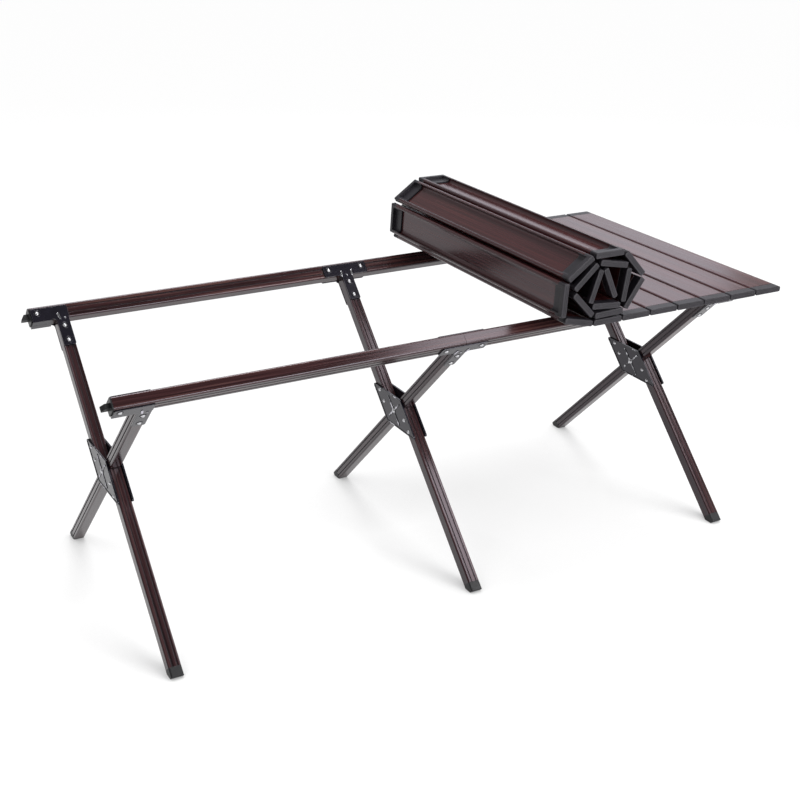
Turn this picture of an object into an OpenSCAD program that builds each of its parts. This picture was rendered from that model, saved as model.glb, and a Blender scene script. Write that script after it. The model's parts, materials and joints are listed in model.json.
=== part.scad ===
// Roll top camp table: a slatted top, shown half rolled up, on a folding frame of three crossed leg sets.
// X runs along the table, Y from front to back, Z up. Sizes are in millimetres.

/* [Top] */
// Length of the top when it is laid flat
top_l = 1200; // [1180:10:1240]
// Width of the top over the slat caps
top_w = 542; // [500:1:600]
// Height of the top surface above the floor
top_h = 435; // [420:1:480]
// Thickness of a slat
slat_t = 10; // [9.5:0.5:11]
// Open gap between two slats
slat_gap = 2; // [1.8:0.1:2.2]
// Length of a slat's end cap
cap_l = 16; // [12:1:20]

/* [Frame] */
// Distance from the middle leg set to each outer one
leg_gap = 514; // [490:1:520]
// Distance from the front rail to the back rail
rail_span = 402; // [380:1:430]
// How far a rail runs past the outer leg set
rail_over = 48; // [46:1:56]
// Height of a rail's section, along the leg
rail_h = 26; // [24:1:28]
// Thickness of the rails and of all legs
tube_t = 19.5; // [18.5:0.5:20]
// Width of a back leg along the table
leg_w = 20; // [19:0.5:21]
// Half of the step between a back leg's upper and lower halves
leg_step = 21.2; // [21:0.1:22]

/* [Fittings] */
// Thickness of the pressed plates
plate_t = 2; // [1.5:0.1:2.2]
// Diameter of a rivet's shank
rivet_d = 4; // [3.6:0.2:4.8]
// Diameter of a rivet's head
head_d = 6.8; // [6.4:0.2:7.6]

/* [Hidden] */
$fn = 48;

// Slats and the roll
slat_n = 21;
pitch = top_l / slat_n;
slat_w = pitch - slat_gap;
slat_l = top_w - 2 * cap_l;
edge_r = 3;
web_t = 1.6;
tray_w = slat_w - 11;
tray_r = 5;
bead_wall = 1.2;
tongue_l = 14;
tongue_t = 2.4;
tongue_fit = 0.25;
cap_rim = 8;
soft_r = 1.2;
line_w = 0.8;
line_cut = 0.4;
cord_d = 3;
cord_hole_d = 3.4;
cord_drop = slat_t / 2;
cord_in = 4.8;
cord_end = 14;
cord_gap = 0.15;

// Each slat turns on its neighbour along a line in the gap, just under the top surface
hinge_drop = 1;
// Turn of the roll at each gap in degrees, from the flat end on: seven slats lie flat, the rest are rolled up
turns = concat([for (k = [1 : 6]) 0], [13, 80, 52, 35, 47, 77, 54, 48, 92, 53, 87, 87, 103, 137]);
function lean(k) = k <= 1 ? 0 : lean(k - 1) + turns[k - 2];
function gap_line(k) =
    k == 0 ? [top_l / 2, 0, top_h - hinge_drop]
           : gap_line(k - 1) + pitch * [-cos(lean(k)), 0, sin(lean(k))];

// Frame: both leg directions lean at 45 degrees and cross at right angles in the pivot
wall = 1.6;
tube_r = 2.5;
rail_r = 3;
groove_w = 2.4;
groove_cut = 1;
rail_groove = 4.5;
leg_groove = 4;
fit = 0.05;
seam = 0.4;
stop_gap = 0.3;
rest_gap = 0.3;
side_gap = 0.5;
slant = sqrt(2);
rail_end = leg_gap + rail_over;
front_leg_w = leg_w - 2 * side_gap;
rail_top = ((rail_h + tube_t) / 2 - 2 * rail_r) / slant + rail_r;
rail_z = top_h - slat_t - rest_gap - rail_top;
back_reach = rail_span / slant;
front_reach = back_reach - leg_step;
pivot_y = -leg_step / slant;
pivot_z = rail_z - front_reach / slant;
back_foot = (pivot_z + leg_step / slant) * slant;
front_foot = pivot_z * slant;
leg_xs = [-leg_gap, 0, leg_gap];

// Feet and rail plugs
foot_l = 13;
foot_r = 4;
toe_cut = 7;
toe_side = 1;
spigot_l = 18;
spigot_fit = 0.2;
flange_t = 2;
peg_l = 12;
peg_h = 10;
peg_t = 8;

// Plates and rivets
arm_top = 8.5;
arm_past = 11;
tee_half = 42;
tab_l = 62;
plate_r = 3;
lip_fit = 0.15;
hole_d = rivet_d + 0.2;
head_h = 2;
ring_d = 10.6;
ring_w = 1.2;
ring_h = 0.5;
rail_rivet = rail_end - 10;
tee_rivet = 32;
tab_rivets = [-27, -53];
hub_rivets = [28, 50];
hub_half = leg_step + tube_t / 2 + 3;
hub_r = 3;
hub_waist = 37.5;
hub_rim = 1.8;
rib_h = 0.8;
rib_w = 3;
pivot_d = 5;
pivot_head_d = 8;
pivot_fit = 0.05;

// The table stands with the middle of its outline over the origin
front_edge = pivot_z + (3 * leg_step + tube_t + toe_side - toe_cut - foot_r * (2 - slant)) / slant;
shift_x = (rail_end + flange_t + peg_l - (top_l - slat_gap) / 2) / 2;
shift_y = (front_edge - top_w / 2) / 2;

function two(k) = k < 10 ? str("0", k) : str(k);
function slat_name(k) = str("slat_", two(k));
function caps_name(k) = str("slat_", two(k), "_caps");

// Places: the whole table, and each frame with Y up its own legs and Z across them
module place() {
    translate([shift_x, shift_y, 0]) children();
}

module in_back() {
    place() translate([0, pivot_y, pivot_z]) rotate([45, 0, 0]) children();
}

module in_front() {
    place() translate([0, pivot_y, pivot_z]) rotate([135, 0, 0]) children();
}

module both_ends() {
    children();
    mirror([1, 0, 0]) children();
}

module both_faces() {
    children();
    mirror([0, 0, 1]) children();
}

// Outlines
module round_rect(w, h, r) {
    square([w - 2 * r, h], center = true);
    square([w, h - 2 * r], center = true);
    for (x = [-1, 1], y = [-1, 1])
        translate([x * (w / 2 - r), y * (h / 2 - r)]) circle(r);
}

module stadium(l, w) {
    square([l - w, w], center = true);
    for (s = [-1, 1])
        translate([s * (l - w) / 2, 0]) circle(d = w);
}

// A convex outline grown by r, with true arcs at its corners
module grown(points, r) {
    polygon(points);
    for (i = [0 : len(points) - 1]) {
        a = points[i];
        b = points[(i + 1) % len(points)];
        out = r * [b[1] - a[1], a[0] - b[0]] / norm(b - a);
        polygon([a, b, b + out, a + out]);
        translate(a) circle(r);
    }
}

// Tube section w wide and h high, with two grooves on each of its horizontal faces
module tube_section(w, h, r, groove) {
    difference() {
        round_rect(w, h, r);
        round_rect(w - 2 * wall, h - 2 * wall, r - wall / 2);
        for (x = [-groove, groove], y = [-1, 1])
            translate([x, y * h / 2]) square([groove_w, 2 * groove_cut], center = true);
    }
}

// Extrusions along X, with the outline's axes on Y and Z, and along Y
module along_x(l) {
    rotate([90, 0, 90]) linear_extrude(l) children();
}

module along_y(l) {
    rotate([-90, 0, 0]) linear_extrude(l) children();
}

module hole_z(d = hole_d, l = 60) {
    cylinder(d = d, h = l, center = true);
}

module hole_x(d = hole_d, l = 60) {
    rotate([0, 90, 0]) cylinder(d = d, h = l, center = true);
}

// Rivet along Z with a domed head on each side of its grip
module rivet(grip, shank = rivet_d, head = head_d) {
    dome = (head * head / 4 + head_h * head_h) / (2 * head_h);
    cylinder(d = shank, h = grip + head_h, center = true);
    both_faces()
        translate([0, 0, grip / 2])
            rotate_extrude()
                intersection() {
                    translate([0, head_h - dome]) circle(dome);
                    square([head / 2, head_h]);
                }
}

// Rails
module rail_half() {
    difference() {
        translate([seam / 2, 0, 0]) along_x(rail_end - seam / 2)
            tube_section(rail_h, tube_t, rail_r, rail_groove);
        translate([rail_rivet, 0, 0]) hole_z();
        translate([tee_rivet, 0, 0]) hole_z();
    }
}

module back_rail(side) {
    in_back() translate([0, back_reach, -leg_step]) mirror([side < 0 ? 1 : 0, 0, 0]) rail_half();
}

module front_rail(side) {
    in_front() translate([0, front_reach, 0]) mirror([side < 0 ? 1 : 0, 0, 0]) rail_half();
}

module back_rail_left() {
    color("#3b2427") back_rail(-1);
}

module back_rail_right() {
    color("#3b2427") back_rail(1);
}

module front_rail_left() {
    color("#3b2427") front_rail(-1);
}

module front_rail_right() {
    color("#3b2427") front_rail(1);
}

// Legs: the back frame's are in two halves that stop against the front frame's straight ones
module back_legs_upper() {
    bottom = front_leg_w / 2 + stop_gap;
    color("#4a3033")
        in_back()
            for (x = leg_xs)
                translate([x, 0, -leg_step])
                    difference() {
                        translate([0, bottom, 0]) along_y(back_reach - rail_h / 2 - fit - bottom)
                            tube_section(leg_w, tube_t, tube_r, leg_groove);
                        for (s = hub_rivets)
                            translate([0, s, 0]) hole_x();
                        for (s = tab_rivets)
                            translate([0, back_reach + s, 0]) hole_z();
                    }
}

module back_legs_lower() {
    bottom = -back_foot + foot_l;
    color("#4a3033")
        in_back()
            for (x = leg_xs)
                translate([x, 0, leg_step])
                    difference() {
                        translate([0, bottom, 0]) along_y(-front_leg_w / 2 - stop_gap - bottom)
                            tube_section(leg_w, tube_t, tube_r, leg_groove);
                        for (s = hub_rivets)
                            translate([0, -s, 0]) hole_x();
                    }
}

module front_legs() {
    bottom = -front_foot + foot_l;
    color("#4a3033")
        in_front()
            for (x = leg_xs)
                translate([x, 0, 0])
                    difference() {
                        translate([0, bottom, 0]) along_y(front_reach - rail_h / 2 - fit - bottom)
                            rotate(90) tube_section(tube_t, front_leg_w, tube_r, leg_groove);
                        hole_x(pivot_d + 2 * pivot_fit);
                        for (s = tab_rivets)
                            translate([0, front_reach + s, 0]) hole_z();
                    }
}

// Hub plate in the YZ plane: a leaning four-sided plate that ties both half legs, with ribs and a rim
module hub_plate() {
    inset = hub_half - hub_r;
    edge = hub_waist - hub_r * slant;
    core = [[edge + inset, -inset], [edge - inset, inset], [-edge - inset, inset], [inset - edge, -inset]];
    difference() {
        union() {
            difference() {
                along_x(plate_t + rib_h) grown(core, hub_r);
                translate([plate_t, 0, 0]) along_x(rib_h + 1) grown(core, hub_r - hub_rim);
            }
            translate([plate_t, 0, 0]) {
                for (a = [0, 90])
                    rotate([a, 0, 0]) along_x(rib_h) stadium(a == 0 ? 58 : 50, rib_w);
                along_x(rib_h) circle(d = pivot_head_d + 2);
            }
        }
        hole_x(pivot_d + 2 * pivot_fit);
        for (s = hub_rivets, m = [-1, 1])
            translate([0, m * s, -m * leg_step]) hole_x();
    }
}

module hub_plates() {
    color("#1c1c1e")
        in_back()
            for (x = leg_xs)
                translate([x, 0, 0])
                    both_ends() translate([leg_w / 2 + fit, 0, 0]) hub_plate();
}

// Pressed plates: x along the rail, y along the leg, z out of the tube's face
module rivet_ring() {
    translate([0, 0, plate_t])
        linear_extrude(ring_h)
            difference() {
                circle(d = ring_d);
                circle(d = ring_d - 2 * ring_w);
            }
}

module plate_tab() {
    difference() {
        translate([0, -tab_l / 2]) round_rect(leg_w, tab_l, plate_r);
        for (s = tab_rivets)
            translate([0, s]) circle(d = hole_d);
    }
}

module inner_fillet(r) {
    difference() {
        translate([-r, -r]) square(r + fit);
        translate([-r, -r]) circle(r);
    }
}

module pressed_marks(x) {
    translate([x, -10, plate_t]) linear_extrude(rib_h) rotate(80) stadium(12, 3.4);
}

module corner_plate() {
    arm_l = rail_over + arm_past;
    arm_h = rail_h / 2 + arm_top;
    lip_x = leg_w / 2 + 6;
    lip_l = rail_over - lip_x;
    linear_extrude(plate_t) {
        difference() {
            translate([rail_over - arm_l / 2, (arm_top - rail_h / 2) / 2]) round_rect(arm_l, arm_h, plate_r);
            translate([rail_rivet - leg_gap, 0]) circle(d = hole_d);
        }
        plate_tab();
        translate([leg_w / 2, -rail_h / 2]) mirror([1, 0]) inner_fillet(5);
        translate([lip_x, -rail_h / 2 - plate_t]) square([lip_l, plate_t + plate_r]);
    }
    // Lip that is folded under the rail, from the leg to the rail's end
    translate([lip_x, -rail_h / 2 - plate_t, lip_fit - tube_t / 2])
        cube([lip_l, plate_t - fit, tube_t / 2 + plate_t - lip_fit]);
    translate([rail_rivet - leg_gap, 0, 0]) rivet_ring();
    for (s = tab_rivets)
        translate([0, s, 0]) rivet_ring();
    pressed_marks(5);
    translate([-4, -14, plate_t]) cylinder(d1 = 4.4, d2 = 3, h = rib_h);
}

module tee_plate() {
    arm_h = rail_h / 2 + arm_top;
    linear_extrude(plate_t) {
        difference() {
            translate([0, (arm_top - rail_h / 2) / 2]) round_rect(2 * tee_half, arm_h, plate_r);
            for (x = [-tee_rivet, tee_rivet])
                translate([x, 0]) circle(d = hole_d);
        }
        plate_tab();
        for (m = [0, 1])
            mirror([m, 0]) translate([leg_w / 2, -rail_h / 2]) mirror([1, 0]) inner_fillet(5);
    }
    for (x = [-tee_rivet, tee_rivet])
        translate([x, 0, 0]) rivet_ring();
    for (s = tab_rivets)
        translate([0, s, 0]) rivet_ring();
    for (x = [-10, 10])
        pressed_marks(x);
    translate([0, -14, plate_t]) cylinder(d1 = 4.4, d2 = 3, h = rib_h);
}

module frame_plates() {
    both_faces()
        translate([0, 0, tube_t / 2 + fit]) {
            both_ends() translate([leg_gap, 0, 0]) corner_plate();
            tee_plate();
        }
}

module back_plates() {
    color("#1c1c1e") in_back() translate([0, back_reach, -leg_step]) frame_plates();
}

module front_plates() {
    color("#1c1c1e") in_front() translate([0, front_reach, 0]) frame_plates();
}

// Rivets of a frame's rail: through the plates and the tubes between them
module frame_rivets() {
    grip = tube_t + 2 * (plate_t + 2 * fit);
    for (x = [-rail_rivet, -tee_rivet, tee_rivet, rail_rivet])
        translate([x, 0, 0]) rivet(grip);
    for (x = leg_xs, s = tab_rivets)
        translate([x, s, 0]) rivet(grip);
}

module back_rivets() {
    hub_grip = leg_w + 2 * (plate_t + 2 * fit);
    color("#c9c9cb")
        in_back() {
            translate([0, back_reach, -leg_step]) frame_rivets();
            for (x = leg_xs, s = hub_rivets, m = [-1, 1])
                translate([x, m * s, -m * leg_step]) rotate([0, 90, 0]) rivet(hub_grip);
        }
}

module front_rivets() {
    color("#c9c9cb") in_front() translate([0, front_reach, 0]) frame_rivets();
}

module pivot_rivets() {
    grip = leg_w + 2 * (plate_t + rib_h + 2 * fit);
    color("#c9c9cb")
        in_back()
            for (x = leg_xs)
                translate([x, 0, 0]) rotate([0, 90, 0]) rivet(grip, pivot_d, pivot_head_d);
}

// Plug foot on the leg's lower end: level on the floor, with a blunt toe and a round heel
module foot_side(t, reach) {
    heel = foot_r - toe_side - t / 2;
    toe = toe_cut + foot_r - reach - t / 2;
    level = foot_r * slant - reach;
    grown([[0, heel], [0, -heel], [toe, -heel], [toe, level - toe], [level - heel, heel]], foot_r);
}

module foot(w, t, reach) {
    intersection() {
        translate([0, -reach - t, 0]) along_y(foot_l + t - fit) round_rect(w, t, tube_r);
        translate([-w, 0, 0]) along_x(2 * w) foot_side(t, reach);
    }
    translate([0, foot_l - reach - 1, 0]) along_y(spigot_l + 1)
        round_rect(w - 2 * (wall + spigot_fit), t - 2 * (wall + spigot_fit), tube_r - wall / 2);
}

module back_feet() {
    color("#2e2e30")
        in_back()
            for (x = leg_xs)
                translate([x, 0, leg_step]) foot(leg_w, tube_t, back_foot);
}

module front_feet() {
    color("#2e2e30")
        in_front()
            for (x = leg_xs)
                translate([x, 0, 0]) mirror([0, 0, 1]) foot(front_leg_w, tube_t, front_foot);
}

// Plug in a rail's end with a flat bevelled peg, held by the end rivet
module rail_plug() {
    translate([rail_end + fit, 0, 0]) along_x(flange_t) round_rect(rail_h, tube_t, rail_r);
    translate([rail_end + flange_t, 0, -peg_t / 2])
        linear_extrude(peg_t)
            polygon([
                [0, -peg_h / 2],
                [peg_l, -peg_h / 2],
                [peg_l, -peg_h / 4],
                [peg_l - 5, peg_h / 2],
                [0, peg_h / 2]
            ]);
    difference() {
        translate([rail_end - spigot_l, 0, 0]) along_x(spigot_l + 1)
            round_rect(rail_h - 2 * (wall + spigot_fit), tube_t - 2 * (wall + spigot_fit), rail_r - wall / 2);
        translate([rail_rivet, 0, 0]) hole_z();
    }
}

module back_rail_plugs() {
    color("#232325") in_back() translate([0, back_reach, -leg_step]) both_ends() rail_plug();
}

module front_rail_plugs() {
    color("#232325") in_front() translate([0, front_reach, 0]) both_ends() rail_plug();
}

// A slat's own frame: X across it, Y along it, Z = 0 on its top surface
module in_roll(k) {
    place()
        translate(gap_line(k - 1))
            rotate([0, lean(k), 0])
                translate([-pitch / 2, 0, hinge_drop])
                    children();
}

// Which edge of a slat is a free one: 1 right, -1 left, 0 none
function nose_of(k) = k == 1 ? 1 : k == slat_n ? -1 : 0;

// Bar outline with a full-round nose on its free edge
module slat_outline(nose) {
    translate([0, -slat_t / 2]) {
        if (nose == 0) {
            round_rect(slat_w, slat_t, edge_r);
        } else {
            translate([-nose * slat_t / 4, 0]) round_rect(slat_w - slat_t / 2, slat_t, edge_r);
            translate([nose * (slat_w - slat_t) / 4, 0])
                square([(slat_w - slat_t) / 2, slat_t], center = true);
            translate([nose * (slat_w - slat_t) / 2, 0]) circle(d = slat_t);
        }
    }
}

module tray_outline(w, h, r) {
    translate([-w / 2, -slat_t]) square([w, h - r]);
    translate([r - w / 2, -slat_t]) square([w - 2 * r, h]);
    for (s = [-1, 1])
        translate([s * (w / 2 - r), h - r - slat_t]) circle(r);
}

module bead_hollow(full) {
    bead_w = (slat_w - tray_w) / 2;
    if (full)
        translate([(slat_w - bead_w) / 2, -slat_t / 2])
            round_rect(bead_w - 2 * bead_wall, slat_t - 2 * bead_wall, bead_wall);
    else
        translate([tray_w / 2 + 2, -slat_t / 2]) circle(1.2);
}

module slat(k) {
    nose = nose_of(k);
    color("#8d8385")
        in_roll(k)
            rotate([90, 0, 0])
                linear_extrude(slat_l, center = true)
                    difference() {
                        slat_outline(nose);
                        translate([0, -1]) tray_outline(tray_w, slat_t - web_t + 1, tray_r);
                        bead_hollow(nose != 1);
                        mirror([1, 0]) bead_hollow(nose != -1);
                    }
}

// Plan of a cap from its slat outwards, with softened outer corners
module soft_end(w) {
    translate([-w / 2, soft_r - cap_l]) square([w, cap_l - soft_r]);
    translate([soft_r - w / 2, -cap_l]) square([w - 2 * soft_r, cap_l]);
    for (s = [-1, 1])
        translate([s * (w / 2 - soft_r), soft_r - cap_l]) circle(soft_r);
}

// Cap on the front end of a slat, reaching forward from y = 0
module end_cap(nose) {
    difference() {
        union() {
            intersection() {
                rotate([90, 0, 0]) linear_extrude(cap_l) slat_outline(nose);
                translate([0, 0, -slat_t]) linear_extrude(slat_t) soft_end(slat_w);
                translate([-slat_w / 2, 0, -slat_t / 2])
                    rotate([0, 90, 0]) linear_extrude(slat_w) soft_end(slat_t);
            }
            // Tongue that lies against the slat's web
            translate([0, tongue_l, 0])
                rotate([90, 0, 0])
                    linear_extrude(tongue_l + 1)
                        tray_outline(tray_w - 2 * tongue_fit, slat_t - web_t - tongue_fit, tray_r);
        }
        // The slat's tray runs on into the cap, up to its rim
        translate([0, tongue_l + 1, -tongue_t - tongue_fit])
            rotate([90, 0, 0])
                linear_extrude(tongue_l + 1 + cap_l - cap_rim)
                    translate([0, -1]) tray_outline(tray_w - 2 * tongue_fit - 2, slat_t - web_t + 1, tray_r);
        cord_run(nose, cord_hole_d, 1);
        for (z = [0.36, 0.66])
            translate([edge_r - slat_w / 2, -cap_l - 1, -z * slat_t])
                cube([slat_w - 2 * edge_r, 1 + line_cut, line_w]);
    }
}

// Elastic cord through a cap, from mid gap to mid gap, ending inside the cap at a free edge
module cord_run(nose, d, past, stop = cord_end) {
    left = nose == -1 ? stop - slat_w / 2 : -slat_w / 2 - past;
    right = nose == 1 ? slat_w / 2 - stop : slat_w / 2 + past;
    translate([left, cord_in - cap_l, -cord_drop])
        rotate([0, 90, 0]) cylinder(d = d, h = right - left);
}

module slat_caps(k) {
    nose = nose_of(k);
    color("#57575a")
        in_roll(k)
            for (m = [0, 1])
                mirror([0, m, 0])
                    translate([0, -slat_l / 2, 0]) {
                        end_cap(nose);
                        cord_run(nose, cord_d, slat_gap / 2 - cord_gap, cord_end + cord_gap);
                    }
}

back_rail_left();
back_rail_right();
back_legs_upper();
back_legs_lower();
hub_plates();
back_plates();
back_feet();
back_rail_plugs();
back_rivets();
pivot_rivets();
front_rail_left();
front_rail_right();
front_legs();
front_plates();
front_feet();
front_rail_plugs();
front_rivets();
for (k = [1 : slat_n])
    slat(k);
for (k = [1 : slat_n])
    slat_caps(k);
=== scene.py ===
# %% [markdown]
# # A roll top camp table
# The table is a top of 21 hinged slats, shown half rolled up, on two rails that three pairs of
# crossed legs carry. Every piece is rigid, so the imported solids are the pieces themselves. What is
# left for Blender is their finish, the light and the camera.

# %% Load the table
import json
import math

import bpy
from mathutils import Matrix, Vector

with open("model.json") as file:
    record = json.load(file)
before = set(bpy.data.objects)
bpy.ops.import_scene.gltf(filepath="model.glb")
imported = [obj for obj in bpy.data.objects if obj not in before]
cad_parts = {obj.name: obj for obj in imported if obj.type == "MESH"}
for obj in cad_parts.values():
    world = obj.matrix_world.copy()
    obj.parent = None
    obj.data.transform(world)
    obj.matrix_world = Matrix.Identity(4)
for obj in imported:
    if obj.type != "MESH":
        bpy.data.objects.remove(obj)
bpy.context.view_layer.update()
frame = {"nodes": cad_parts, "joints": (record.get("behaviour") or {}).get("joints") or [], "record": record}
nodes = frame["nodes"]
MM = 0.001

# %% [markdown]
# ## Small helpers
# Colours are written as sRGB hex, as a paint chart gives them. Shaders work in linear light, so one
# function converts them. Another adds a shader node, sets its options and fills its sockets: a
# socket is filled with a value, or linked when it is given another node's output. A third starts an
# empty material. The last one rounds edges in the shading: pressed and extruded edges are never razor
# sharp, and it is their thin bright line that makes a dark piece readable.


# %% Helpers for colours and nodes
def linear(hex_colour):
    channels = [int(hex_colour[i : i + 2], 16) / 255 for i in (1, 3, 5)]
    return [c / 12.92 if c <= 0.04045 else ((c + 0.055) / 1.055) ** 2.4 for c in channels] + [1.0]


def add(tree, kind, sockets=None, **options):
    made = tree.nodes.new(kind)
    for name, value in options.items():
        setattr(made, name, value)
    for name, value in (sockets or {}).items():
        if isinstance(value, bpy.types.NodeSocket):
            tree.links.new(value, made.inputs[name])
        else:
            made.inputs[name].default_value = value
    return made


def new_material(name):
    material = bpy.data.materials.new(name)
    material.use_nodes = True
    material.node_tree.nodes.clear()
    return material, material.node_tree


EDGE = 0.7 * MM  # broken edges are about 0.3 mm, drawn softer so that they catch the light


def soft_edges(tree, radius=EDGE):
    return add(tree, "ShaderNodeBevel", {"Radius": radius}, samples=4).outputs["Normal"]


print("mid grey in linear light:", round(linear("#808080")[0], 3))

# %% [markdown]
# ## Wood-grain film on extruded aluminium
# Slats, rails and legs are aluminium extrusions with a printed dark walnut finish under a satin
# lacquer. The eye sees fine streaks along the piece, slow bands of lighter and darker brown, and
# a clear reflection of the white studio that turns flat faces grey at a low angle. An image of wood
# would need an unwrapped surface. Noise that is stretched along the piece needs only a direction, and
# it runs round every edge without a seam. The lacquer is a plastic, so the surface isn't metallic.
# Grooves keep dust and lose their gloss, and ambient occlusion over a few millimetres finds them;
# there the colour is also darkened, which is painted shade. Painted shade also darkens the film where it
# wraps round an edge: there the softened normal leaves the face's own.

# %% Streaks and bands along a piece
STREAK = (2.4 * MM, 260 * MM)  # the real grain is about 0.4 mm wide, drawn coarser so that it shows
BAND = (11 * MM, 420 * MM)


def wood_grain(tree, turn):
    """Turn brings the piece's length to Y."""
    place = add(tree, "ShaderNodeTexCoord").outputs["Object"]
    along = add(
        tree,
        "ShaderNodeVectorRotate",
        {"Vector": place, "Rotation": turn},
        rotation_type="EULER_XYZ",
    )
    grain = []
    for width, length in (STREAK, BAND):
        stretched = add(
            tree,
            "ShaderNodeVectorMath",
            {0: along.outputs["Vector"], 1: (1 / width, 1 / length, 1 / width)},
            operation="MULTIPLY",
        )
        grain.append(
            add(
                tree,
                "ShaderNodeTexNoise",
                {"Vector": stretched.outputs["Vector"], "Scale": 1.0, "Detail": 4.0, "Roughness": 0.55},
            ).outputs["Fac"]
        )
    return grain


print("streaks and bands are", STREAK[0] / MM, "and", BAND[0] / MM, "mm wide")

# %% Wood-grain film
BAND_SHARE = 0.45
GROOVE = 2.5 * MM
PAINTED_SHADE = "#0c0707"
DUSTY = 0.8  # roughness
RELIEF = 0.12 * MM


def wood_film(name, turn, dark, middle, light, gloss, relief, edge):
    """Relief is how strongly the drawn lines stand out, and edge how far the film's edges are rounded and how
    wide the painted shade along them is.
    """
    material, tree = new_material(name)
    streak, band = wood_grain(tree, turn)
    mixed = add(tree, "ShaderNodeMix", {"Factor": BAND_SHARE, "A": streak, "B": band})
    ramp = add(tree, "ShaderNodeValToRGB", {"Fac": mixed.outputs["Result"]})
    stops = ramp.color_ramp.elements
    stops[0].position, stops[0].color = 0.36, linear(dark)
    stops[1].position, stops[1].color = 0.68, linear(light)
    between = stops.new(0.52)
    between.color = linear(middle)
    # Ambient occlusion finds the grooves: there the colour is darkened to painted shade, and the gloss is
    # lost to dust
    shelter = add(tree, "ShaderNodeAmbientOcclusion", {"Distance": GROOVE}, samples=8)
    open_sky = shelter.outputs["AO"]
    unshaded_and_clean = add(tree, "ShaderNodeMapRange", {"Value": open_sky, "From Min": 0.55, "From Max": 0.95})
    rounded = soft_edges(tree, edge)
    # Where the rounded normal leaves the face's own, near an edge, the colour is darkened too: painted shade
    own = add(tree, "ShaderNodeNewGeometry").outputs["True Normal"]
    flat = add(tree, "ShaderNodeVectorMath", {0: rounded, 1: own}, operation="DOT_PRODUCT")
    level = add(
        tree,
        "ShaderNodeMapRange",
        {"Value": flat.outputs["Value"], "From Min": 0.8, "From Max": 0.99},
    )
    # Printed is one where the film's own colour shows, and falls to the painted shade in grooves and along
    # edges
    printed = add(
        tree,
        "ShaderNodeMath",
        {0: unshaded_and_clean.outputs["Result"], 1: level.outputs["Result"]},
        operation="MINIMUM",
    )
    colour = add(
        tree,
        "ShaderNodeMix",
        {"Factor": printed.outputs["Value"], "A": linear(PAINTED_SHADE), "B": ramp.outputs["Color"]},
        data_type="RGBA",
    )
    glossy = add(
        tree,
        "ShaderNodeMapRange",
        {"Value": streak, "From Min": 0.3, "From Max": 0.7, "To Min": gloss - 0.05, "To Max": gloss + 0.06},
    )
    rough = add(
        tree,
        "ShaderNodeMix",
        {"Factor": unshaded_and_clean.outputs["Result"], "A": DUSTY, "B": glossy.outputs["Result"]},
    )
    bump = add(
        tree,
        "ShaderNodeBump",
        {"Height": streak, "Strength": relief, "Distance": RELIEF, "Normal": rounded},
    )
    shader = add(
        tree,
        "ShaderNodeBsdfPrincipled",
        {
            "Base Color": colour.outputs["Result"],
            "Roughness": rough.outputs["Result"],
            "Normal": bump.outputs["Normal"],
            "IOR": 1.5,
            "Specular Tint": linear("#f3ebf6"),
        },
    )
    add(tree, "ShaderNodeOutputMaterial", {"Surface": shader.outputs["BSDF"]})
    return material


# The darkening in these grooves is painted shade; only their loss of gloss stands for dust
print("grooves up to", GROOVE / MM, "mm wide keep dust")

# %% One film for each direction that the pieces run in
QUARTER = math.pi / 2
GROOVE_EDGE = 0.25 * MM  # sharp, so that each groove keeps its dark line, which is partly painted shade
SLAT_EDGE = 3.5 * MM  # the extruded beads roll over further than a cut edge, and the painted shade along them is as wide
slat_colours = ("#331718", "#421f20", "#522a28", 0.2, 0.1)
slat_film = wood_film("slat_walnut_film_on_aluminium", (0, 0, 0), *slat_colours, SLAT_EDGE)
rail_colours = ("#190d0d", "#331c1d", "#60443f", 0.18, 0.3, GROOVE_EDGE)
rail_film = wood_film("rail_walnut_film_on_aluminium", (0, 0, QUARTER), *rail_colours)
leg_colours = ("#1b0f10", "#352022", "#4e3736", 0.16, 0.35, GROOVE_EDGE)
back_leg_film = wood_film("back_leg_walnut_film_on_aluminium", (-QUARTER / 2, 0, 0), *leg_colours)
front_leg_film = wood_film("front_leg_walnut_film_on_aluminium", (-1.5 * QUARTER, 0, 0), *leg_colours)
print("film finishes:", slat_film.name, rail_film.name, back_leg_film.name, front_leg_film.name)

# %% [markdown]
# ## Moulded plastic
# The slat caps, feet and rail plugs are moulded in glass-filled nylon and soft PVC. A mould is spark
# eroded, which leaves a fine even grain that scatters the highlight. Slightly paler flow patches
# keep a large grey surface from looking printed. Both come from noise at two sizes, and the grain
# also goes into the bump.

# %% Moulded plastics
GRAIN = 0.9 * MM  # spark grain is about 0.1 mm, drawn coarser so that it shows
FLOW = 24 * MM


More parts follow.
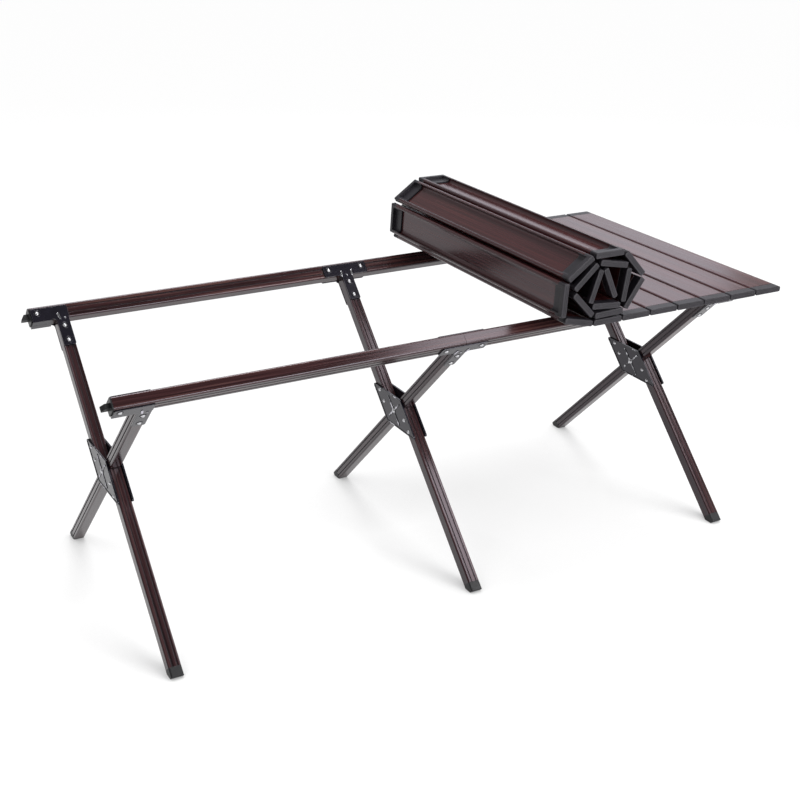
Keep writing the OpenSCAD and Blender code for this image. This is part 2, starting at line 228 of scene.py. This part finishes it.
def moulded_plastic(name, dark, light, roughness):
    material, tree = new_material(name)
    place = add(tree, "ShaderNodeTexCoord").outputs["Object"]
    grain = add(tree, "ShaderNodeTexNoise", {"Vector": place, "Scale": 1 / GRAIN, "Detail": 2.0})
    flow = add(tree, "ShaderNodeTexNoise", {"Vector": place, "Scale": 1 / FLOW, "Detail": 3.0})
    mixed = add(
        tree, "ShaderNodeMix", {"Factor": 0.4, "A": flow.outputs["Fac"], "B": grain.outputs["Fac"]}
    )
    ramp = add(tree, "ShaderNodeValToRGB", {"Fac": mixed.outputs["Result"]})
    stops = ramp.color_ramp.elements
    stops[0].position, stops[0].color = 0.35, linear(dark)
    stops[1].position, stops[1].color = 0.65, linear(light)
    rough = add(
        tree,
        "ShaderNodeMapRange",
        {"Value": grain.outputs["Fac"], "To Min": roughness - 0.08, "To Max": roughness + 0.08},
    )
    bump = add(
        tree,
        "ShaderNodeBump",
        {"Height": grain.outputs["Fac"], "Strength": 0.25, "Distance": RELIEF, "Normal": soft_edges(tree)},
    )
    shader = add(
        tree,
        "ShaderNodeBsdfPrincipled",
        {
            "Base Color": ramp.outputs["Color"],
            "Roughness": rough.outputs["Result"],
            "Normal": bump.outputs["Normal"],
            "IOR": 1.53,
            "Specular IOR Level": 0.3,
        },
    )
    add(tree, "ShaderNodeOutputMaterial", {"Surface": shader.outputs["BSDF"]})
    return material


cap_nylon = moulded_plastic("cap_moulded_black_nylon", "#1f1d22", "#2b282e", 0.45)
foot_pvc = moulded_plastic("foot_moulded_black_pvc", "#1a1a1c", "#252527", 0.45)
plug_nylon = moulded_plastic("plug_moulded_black_nylon", "#141416", "#1e1e20", 0.4)
print("plastics:", cap_nylon.name, foot_pvc.name, plug_nylon.name)

# %% [markdown]
# ## Powder coat on pressed steel
# Hub plates, corner plates and tee plates are pressed from sheet steel and coated black. Powder
# flows out into a soft orange peel, so highlights are slightly broken, and its thickness drifts over
# the plate, which shows as a slow change of tone. What stands proudest of a plate, its ribs and marks, is
# rubbed first when the table is packed, and bare steel shows there. On the hub plates only the ribs
# next to the pivot are rubbed, in patches. A painted mask would need an unwrapped surface. Here the
# height above the plate's face is the mask: the distance along the plate's outward direction from the
# middle of the tube that it clasps.

# %% Where the coat is rubbed off
SCUFF = 7 * MM
PATCH_FADE = 0.14
RAISED = 0.8 * MM
RUB_STARTS, RUB_ENDS = 0.65 * RAISED, 0.9 * RAISED
PIVOT = next(joint["pos_m"] for joint in frame["joints"] if joint["name"] == "fold")


def rubbed_off(tree, place, out, middle, face, repeat, reach, kept):
    """Face is the coat's distance from the middle plane, repeat the step from one tube to the next,
    reach how far from the pivot line the coat is rubbed, and kept how much of it is left there."""
    scuff = add(tree, "ShaderNodeTexNoise", {"Vector": place, "Scale": 1 / SCUFF, "Detail": 3.0})
    height = add(tree, "ShaderNodeVectorMath", {0: place, 1: out}, operation="DOT_PRODUCT")
    offset = add(tree, "ShaderNodeMath", {0: height.outputs["Value"], 1: middle}, operation="SUBTRACT")
    away = add(tree, "ShaderNodeMath", {0: offset.outputs["Value"], 1: repeat / 2}, operation="PINGPONG")
    proud = add(
        tree,
        "ShaderNodeMapRange",
        {"Value": away.outputs["Value"], "From Min": face + RUB_STARTS, "From Max": face + RUB_ENDS},
    )
    from_pivot = add(tree, "ShaderNodeVectorMath", {0: place, 1: PIVOT}, operation="SUBTRACT")
    sideways = add(
        tree,
        "ShaderNodeVectorMath",
        {0: from_pivot.outputs["Vector"], 1: (0, 1, 1)},
        operation="MULTIPLY",
    )
    distance = add(tree, "ShaderNodeVectorMath", {0: sideways.outputs["Vector"]}, operation="LENGTH")
    near = add(tree, "ShaderNodeMath", {0: distance.outputs["Value"], 1: reach}, operation="LESS_THAN")
    rubbed = add(
        tree,
        "ShaderNodeMath",
        {0: proud.outputs["Result"], 1: near.outputs["Value"]},
        operation="MULTIPLY",
    )
    patches = add(
        tree,
        "ShaderNodeMapRange",
        {
            "Value": scuff.outputs["Fac"],
            "From Min": kept,
            "From Max": kept + PATCH_FADE,
            "To Max": rubbed.outputs["Value"],
        },
    )
    return patches.outputs["Result"]


print("pivot line through", [round(v, 3) for v in PIVOT])

# %% Black powder coat
PEEL = 1.6 * MM  # orange peel is about 0.8 mm, drawn coarser so that it shows
CLOUD = 18 * MM
PLATE_EDGE = 1.4 * MM


def powder_coat(name, *where):
    """Where says which places are rubbed, as rubbed_off takes it."""
    material, tree = new_material(name)
    place = add(tree, "ShaderNodeTexCoord").outputs["Object"]
    peel = add(tree, "ShaderNodeTexNoise", {"Vector": place, "Scale": 1 / PEEL, "Detail": 2.0})
    cloud = add(tree, "ShaderNodeTexNoise", {"Vector": place, "Scale": 1 / CLOUD, "Detail": 2.0})
    worn = rubbed_off(tree, place, *where)
    tone = add(
        tree,
        "ShaderNodeMix",
        {"Factor": cloud.outputs["Fac"], "A": linear("#0f0e13"), "B": linear("#1d1b24")},
        data_type="RGBA",
    )
    colour = add(
        tree,
        "ShaderNodeMix",
        {"Factor": worn, "A": tone.outputs["Result"], "B": linear("#c4c4c8")},
        data_type="RGBA",
    )
    rough = add(tree, "ShaderNodeMapRange", {"Value": peel.outputs["Fac"], "To Min": 0.13, "To Max": 0.25})
    bump = add(
        tree,
        "ShaderNodeBump",
        {
            "Height": peel.outputs["Fac"],
            "Strength": 0.2,
            "Distance": RELIEF,
            "Normal": soft_edges(tree, PLATE_EDGE),
        },
    )
    shader = add(
        tree,
        "ShaderNodeBsdfPrincipled",
        {
            "Base Color": colour.outputs["Result"],
            "Metallic": worn,
            "Roughness": rough.outputs["Result"],
            "Normal": bump.outputs["Normal"],
            "IOR": 1.5,
            "Specular Tint": linear("#eae5f1"),
        },
    )
    add(tree, "ShaderNodeOutputMaterial", {"Surface": shader.outputs["BSDF"]})
    return material


print("orange peel is drawn", PEEL / MM, "mm wide")

# %% One coat for each direction that the plates face
SLOPE = math.sqrt(0.5)
LEG_GAP = 514 * MM
ONCE = 2.0  # a step longer than the table, for plates whose tubes lie in one plane
ALL_OVER = 1.0
plate_coats = {}
for node, out, repeat, steps, reach, kept in (
    ("back_plates", (0, -SLOPE, SLOPE), ONCE, 0, ALL_OVER, 0.25),
    ("front_plates", (0, SLOPE, SLOPE), ONCE, 0, ALL_OVER, 0.25),
    ("hub_plates", (1, 0, 0), LEG_GAP, 2, 28 * MM, 0.44),
):
    heights = [vertex.co.dot(Vector(out)) for vertex in nodes[node].data.vertices]
    low, high = min(heights), max(heights)
    face = (high - low - steps * LEG_GAP) / 2 - RAISED
    name = f"{node}_black_powder_coat_on_steel"
    plate_coats[node] = powder_coat(name, out, (low + high) / 2, face, repeat, reach, kept)
    print(node, "coat stands", round(face / MM, 1), "mm from the middle of its tube")

# %% [markdown]
# ## Bright aluminium rivets
# Rivets are set cold, which leaves a bright head with faint handling marks. It is bare metal, so the
# colour is the reflection's tint and nearly all of the look is in the roughness.

# %% Bright aluminium
MARK = 1.2 * MM

bright_aluminium, tree = new_material("rivet_bright_set_aluminium")
place = add(tree, "ShaderNodeTexCoord").outputs["Object"]
marks = add(tree, "ShaderNodeTexNoise", {"Vector": place, "Scale": 1 / MARK, "Detail": 3.0})
rough = add(tree, "ShaderNodeMapRange", {"Value": marks.outputs["Fac"], "To Min": 0.2, "To Max": 0.42})
ramp = add(tree, "ShaderNodeValToRGB", {"Fac": marks.outputs["Fac"]})
stops = ramp.color_ramp.elements
stops[0].position, stops[0].color = 0.3, linear("#b0b0b3")
stops[1].position, stops[1].color = 0.7, linear("#d2d2d5")
shader = add(
    tree,
    "ShaderNodeBsdfPrincipled",
    {"Base Color": ramp.outputs["Color"], "Roughness": rough.outputs["Result"], "Metallic": 1.0},
)
add(tree, "ShaderNodeOutputMaterial", {"Surface": shader.outputs["BSDF"]})
print("rivets:", bright_aluminium.name)

# %% [markdown]
# ## Give each piece its finish
# The record says which material slot a piece has. Only the film and the powder coat need more than
# that, because one follows the piece's length and the other its outward side, so tubes and plates are
# told apart by name.

# %% Assign the finishes
finishes = {
    "slat": slat_film,
    "cap": cap_nylon,
    "foot": foot_pvc,
    "plug": plug_nylon,
    "rivet": bright_aluminium,
}
by_name = {"rail": rail_film, "back_leg": back_leg_film, "front_leg": front_leg_film, **plate_coats}
for part in frame["record"]["subparts"]:
    name, slot = part["node"], part["material_slot"]
    finish = finishes.get(slot) or next(coat for word, coat in by_name.items() if word in name)
    mesh = nodes[name].data
    mesh.materials.clear()
    mesh.materials.append(finish)

# %% [markdown]
# ## Floor and background
# The photograph is a cut-out on white with a faint soft shadow. The floor is a matt grey. To the camera
# it also glows, so that it reads as white, while the shadow under the table still darkens it. The glow
# is weaker close to the feet, where ambient occlusion finds less open sky: that is a painted contact
# shadow. Glossy and transmitted rays see the same white floor. Above the floor a studio is bright
# behind the object and dim behind the camera, so what the world shows to glossy rays is dimmer than
# the camera's white and falls off from the back to the front. With the full white, dark lacquer would look
# grey on all sides.

# %% Floor
FLOOR_SIZE = 60.0
FLOOR_DROP = 0.4 * MM
SHADE_REACH = 160 * MM
PAINTED_SHADOW_GLOW, OPEN_GLOW = 0.2, 0.73


def seen_rays(tree):
    path = add(tree, "ShaderNodeLightPath").outputs
    direct = add(
        tree,
        "ShaderNodeMath",
        {0: path["Is Camera Ray"], 1: path["Is Glossy Ray"]},
        operation="MAXIMUM",
    )
    seen = add(
        tree,
        "ShaderNodeMath",
        {0: direct.outputs["Value"], 1: path["Is Transmission Ray"]},
        operation="MAXIMUM",
    )
    return path, seen.outputs["Value"]


bpy.ops.mesh.primitive_plane_add(size=FLOOR_SIZE, location=(0, 0, -FLOOR_DROP))
floor = bpy.context.object
floor.name = "floor"
pale_floor, tree = new_material("pale_studio_floor")
matt = add(tree, "ShaderNodeBsdfDiffuse", {"Color": linear("#8e8e8e")})
# Less glow where ambient occlusion finds less open sky paints the contact shadow near the feet and under the
# table
open_sky = add(tree, "ShaderNodeAmbientOcclusion", {"Distance": SHADE_REACH}, samples=8).outputs["AO"]
glow_with_painted_shadow = add(tree, "ShaderNodeMapRange", {"Value": open_sky, "To Min": PAINTED_SHADOW_GLOW, "To Max": OPEN_GLOW})
glow = add(
    tree, "ShaderNodeEmission", {"Color": linear("#ffffff"), "Strength": glow_with_painted_shadow.outputs["Result"]}
)
lit = add(tree, "ShaderNodeAddShader", {0: matt.outputs["BSDF"], 1: glow.outputs["Emission"]})
surface = add(
    tree,
    "ShaderNodeMixShader",
    {"Fac": seen_rays(tree)[1], 1: matt.outputs["BSDF"], 2: lit.outputs["Shader"]},
)
add(tree, "ShaderNodeOutputMaterial", {"Surface": surface.outputs["Shader"]})
floor.data.materials.append(pale_floor)
print("floor:", FLOOR_SIZE, "m wide")

# %% Background
FILL = 0.25
FRONT_GLOSS, BACK_GLOSS = 0.1, 0.45

world = bpy.data.worlds.new("white_studio")
bpy.context.scene.world = world
world.use_nodes = True
tree = world.node_tree
tree.nodes.clear()
path, seen = seen_rays(tree)
heading = add(tree, "ShaderNodeSeparateXYZ", {"Vector": add(tree, "ShaderNodeTexCoord").outputs["Generated"]})
backdrop = add(
    tree,
    "ShaderNodeMapRange",
    {
        "Value": heading.outputs["Y"],
        "From Min": -0.2,
        "From Max": 0.5,
        "To Min": FRONT_GLOSS,
        "To Max": BACK_GLOSS,
    },
)
shown = add(
    tree, "ShaderNodeMath", {0: path["Is Camera Ray"], 1: backdrop.outputs["Result"]}, operation="MAXIMUM"
)
fill = add(tree, "ShaderNodeBackground", {"Color": linear("#ffffff"), "Strength": FILL})
white = add(tree, "ShaderNodeBackground", {"Color": linear("#ffffff"), "Strength": shown.outputs["Value"]})
sky = add(
    tree,
    "ShaderNodeMixShader",
    {"Fac": seen, 1: fill.outputs["Background"], 2: white.outputs["Background"]},
)
add(tree, "ShaderNodeOutputWorld", {"Surface": sky.outputs["Shader"]})
print("background:", world.name)

# %% [markdown]
# ## Studio light
# The front legs' shadows are soft and lie to the left of their feet, so the main light is a wide one
# overhead, a little to the right. It is drawn as a sun with a large angle, which lights the whole floor
# evenly. A softbox at the front lights the caps' ends. One above the right is what the legs' sloping
# faces mirror, one above the left draws bright lines along the grooves and the plates' ribs, and one at
# the back is for the flat slats.

# %% Lamps
overhead = bpy.data.lights.new("overhead", "SUN")
overhead.energy = 2.3
overhead.angle = math.radians(26)
holder = bpy.data.objects.new("overhead", overhead)
bpy.context.scene.collection.objects.link(holder)
# It comes from a little behind and from the right, so that no plate mirrors it to the camera
holder.rotation_euler = (math.radians(-14), math.radians(16), 0)

AIM = (0.1, 0, 0.35)
for name, spot, aim, wide, high, watts, tint in (
    ("front_softbox", (0.6, -2.2, 1.0), AIM, 1.2, 1.2, 44, "#ffffff"),
    ("leg_softbox", (1.3, -1.05, 1.8), (1.3, -1.05, 0), 1.2, 1.1, 24, "#ffffff"),
    ("rib_softbox", (-1.4, -0.25, 1.75), AIM, 0.7, 0.7, 8, "#ffffff"),
    ("rear_softbox", (1.7, 2.6, 1.7), AIM, 2.4, 1.4, 11, "#eef2ff"),
):
    lamp = bpy.data.lights.new(name, "AREA")
    lamp.shape = "RECTANGLE"
    lamp.size = wide
    lamp.size_y = high
    lamp.energy = watts
    lamp.color = linear(tint)[:3]
    holder = bpy.data.objects.new(name, lamp)
    bpy.context.scene.collection.objects.link(holder)
    holder.location = spot
    holder.rotation_euler = (Vector(aim) - Vector(spot)).to_track_quat("-Z", "Y").to_euler()

# %% [markdown]
# ## Camera
# The viewpoint was found by matching the rails, legs and slat edges of the photograph. The camera
# stands at the front left, looks down on the table and leans by about one degree.

# %% Camera
EYE = Vector((-1065.7, -1825.8, 1132.7)) * MM
HEADING, DIP, LEAN = (math.radians(a) for a in (30.16, 23.03, -1.26))
FOCAL, SENSOR = 59.89, 36.0

forward = Vector(
    (math.sin(HEADING) * math.cos(DIP), math.cos(HEADING) * math.cos(DIP), -math.sin(DIP))
)
level = forward.cross(Vector((0, 0, 1))).normalized()
down = forward.cross(level)
right = math.cos(LEAN) * level + math.sin(LEAN) * down
up = math.sin(LEAN) * level - math.cos(LEAN) * down
lens = bpy.data.cameras.new("camera")
lens.lens = FOCAL
lens.sensor_width = SENSOR
camera = bpy.data.objects.new("camera", lens)
bpy.context.scene.collection.objects.link(camera)
camera.matrix_world = Matrix.Translation(EYE) @ Matrix((right, up, -forward)).transposed().to_4x4()
bpy.context.scene.camera = camera
bpy.context.scene.view_settings.view_transform = "Standard"
print("camera at", [round(v, 3) for v in EYE])
